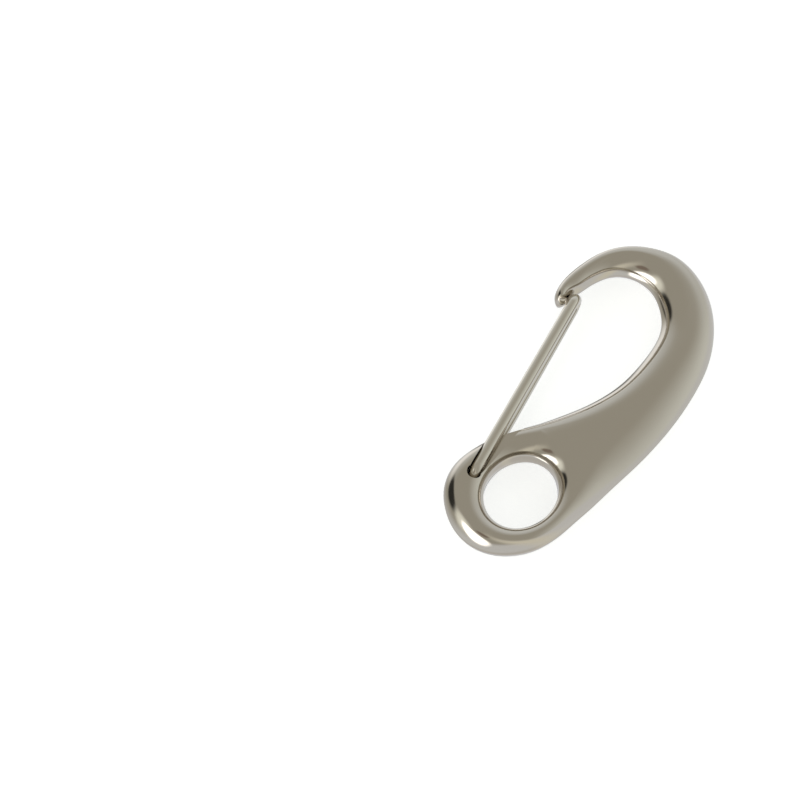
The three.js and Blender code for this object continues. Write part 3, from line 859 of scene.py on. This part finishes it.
class HOOK_OT_studio(bpy.types.Operator):
    """Set the floor, the light of the room and the camera"""

    bl_idname = "hook.studio"
    bl_label = "Studio"

    sensor_width = 36  # mm
    nearest_seen, farthest_seen = 0.01, 100
    floor_size = 30
    floor_gap = 0.01 * mm  # below the hook, whose flat face would otherwise lie in the floor's plane
    floor_glow = 0.66  # what the camera sees of the floor besides its own light, so that it shows white
    glow_tint = (0.95, 0.98, 1.0)  # evens out the warm light on the floor

    def execute(self, context):
        studio = context.scene.hook_studio
        shift = frame_shift(BodyForm(context.scene.hook_body))
        aside = Matrix.Translation((-studio.eye_right, studio.eye_near, 0))
        picture = Matrix.Translation(shift) @ Matrix.Rotation(-studio.turn, 4, "Z") @ aside
        self.camera(context, studio, picture)
        self.floor(studio)
        self.world(context, studio)
        context.scene.view_settings.view_transform = "Standard"
        return {"FINISHED"}

    def camera(self, context, studio, picture):
        """The camera, at its distance from the middle of the picture and looking at it."""
        lens = bpy.data.cameras.new("camera")
        lens.lens = studio.lens
        lens.sensor_width = self.sensor_width
        lens.clip_start = self.nearest_seen
        lens.clip_end = self.farthest_seen
        camera = bpy.data.objects.new("camera", lens)
        context.collection.objects.link(camera)
        back = Vector((0, -math.cos(studio.elevation), math.sin(studio.elevation)))
        aim = (-back).to_track_quat("-Z", "Y").to_matrix().to_4x4()
        pose = Matrix.Translation(back * studio.distance) @ aim
        camera.matrix_world = picture @ pose
        context.scene.camera = camera

    def floor(self, studio):
        """A matte floor that shows white and keeps the hook's shadow. The metal doesn't reflect it: the
        fields below the horizon stand for it there."""
        deselect()
        bpy.ops.mesh.primitive_plane_add(size=self.floor_size, location=(0, 0, -self.floor_gap))
        floor = bpy.context.object
        floor.name = "studio_floor"
        material = bpy.data.materials.new("matte white sweep")
        material.use_nodes = True
        tree = material.node_tree
        tree.nodes.clear()
        seen = node(tree, "ShaderNodeLightPath").outputs
        top_up = maths(tree, "MULTIPLY", {1: self.floor_glow}, {0: seen["Is Camera Ray"]})
        paint = node(tree, "ShaderNodeBsdfDiffuse", {"Color": (*studio.floor, 1)})
        glow = node(tree, "ShaderNodeEmission", {"Color": (*self.glow_tint, 1)}, {"Strength": top_up})
        lit = node(tree, "ShaderNodeAddShader", links={0: paint.outputs[0], 1: glow.outputs[0]})
        node(tree, "ShaderNodeOutputMaterial", links={"Surface": lit.outputs[0]})
        floor.data.materials.append(material)
        floor.visible_glossy = False

    def world(self, context, studio):
        """The room: one colour overhead, and the soft fields round the hook."""
        world = bpy.data.worlds.new("room")
        world.use_nodes = True
        context.scene.world = world
        tree = world.node_tree
        tree.nodes.clear()
        way = node(tree, "ShaderNodeTexCoord").outputs["Generated"]
        axes = node(tree, "ShaderNodeSeparateXYZ", links={0: way}).outputs
        around = maths(tree, "ARCTAN2", links={0: axes["Y"], 1: axes["X"]})
        up = maths(tree, "ARCSINE", links={0: axes["Z"]})
        colours = node(tree, "ShaderNodeRGB").outputs[0]
        colours.default_value = (*studio.room, 1)
        for *degrees, lean, soft, code, strength in FIELDS.values():
            middle, height, wide, high = (math.radians(value) for value in degrees)
            tint = [strength * c for c in srgb(code)]
            place = (middle - studio.turn, height, wide, high, lean)
            colours = self.field(tree, around, up, colours, place, soft, tint)
        seen = node(tree, "ShaderNodeLightPath")
        room = node(tree, "ShaderNodeBackground", {"Strength": 1.0}, {"Color": colours})
        white = node(tree, "ShaderNodeBackground", {"Color": (1, 1, 1, 1), "Strength": 1.0})
        sides = {0: seen.outputs["Is Camera Ray"], 1: room.outputs[0], 2: white.outputs[0]}
        mix = node(tree, "ShaderNodeMixShader", links=sides)
        node(tree, "ShaderNodeOutputWorld", links={"Surface": mix.outputs[0]})

    @staticmethod
    def field(tree, around, up, below, place, soft, tint):
        """Lays one soft field over the colours below it."""
        middle, height, wide, high, lean = place
        rise = maths(tree, "SUBTRACT", {1: height}, {0: up})
        shift = maths(tree, "MULTIPLY_ADD", {1: lean, 2: middle}, {0: rise})
        aside = maths(tree, "SUBTRACT", links={0: around, 1: shift})
        wrapped = maths(tree, "WRAP", {1: -math.pi, 2: math.pi}, {0: aside})
        across = maths(tree, "DIVIDE", {1: wide}, {0: wrapped})
        along = maths(tree, "DIVIDE", {1: high}, {0: rise})
        spot = node(tree, "ShaderNodeCombineXYZ", links={0: across, 1: along}).outputs[0]
        out = node(tree, "ShaderNodeVectorMath", links={0: spot}, operation="LENGTH").outputs["Value"]
        share = node(
            tree,
            "ShaderNodeMapRange",
            {"From Min": 1 + soft, "From Max": 1 - soft, "To Min": 0.0, "To Max": 1.0},
            {"Value": out},
            interpolation_type="SMOOTHSTEP",
        )
        ends = {"Fac": share.outputs["Result"], "Color1": below}
        laid = node(tree, "ShaderNodeMixRGB", {"Color2": (*tint, 1)}, ends)
        return laid.outputs["Color"]


class HOOK_PT_panel(bpy.types.Panel):
    """The hook's pieces and their sizes"""

    bl_idname = "HOOK_PT_panel"
    bl_label = "Snap hook"
    bl_space_type = "VIEW_3D"
    bl_region_type = "UI"
    bl_category = "Snap hook"

    def draw(self, context):
        parts = (("hook.body", "hook_body"), ("hook.gate", "wire_gate"), ("hook.studio", "hook_studio"))
        for operator, group in parts:
            box = self.layout.box()
            box.operator(operator)
            settings = getattr(context.scene, group)
            for name in settings.__annotations__:
                box.prop(settings, name)


CLASSES = (
    HookBodySizes,
    WireGateSizes,
    StudioSettings,
    HOOK_OT_body,
    HOOK_OT_gate,
    HOOK_OT_studio,
    HOOK_PT_panel,
)


def register():
    for cls in CLASSES:
        bpy.utils.register_class(cls)
    bpy.types.Scene.hook_body = bpy.props.PointerProperty(type=HookBodySizes)
    bpy.types.Scene.wire_gate = bpy.props.PointerProperty(type=WireGateSizes)
    bpy.types.Scene.hook_studio = bpy.props.PointerProperty(type=StudioSettings)


def unregister():
    del bpy.types.Scene.hook_studio
    del bpy.types.Scene.wire_gate
    del bpy.types.Scene.hook_body
    for cls in reversed(CLASSES):
        bpy.utils.unregister_class(cls)


def main():
    register()
    bpy.ops.hook.body()
    bpy.ops.hook.gate()
    bpy.ops.hook.studio()


if __name__ == "__main__":
    main()
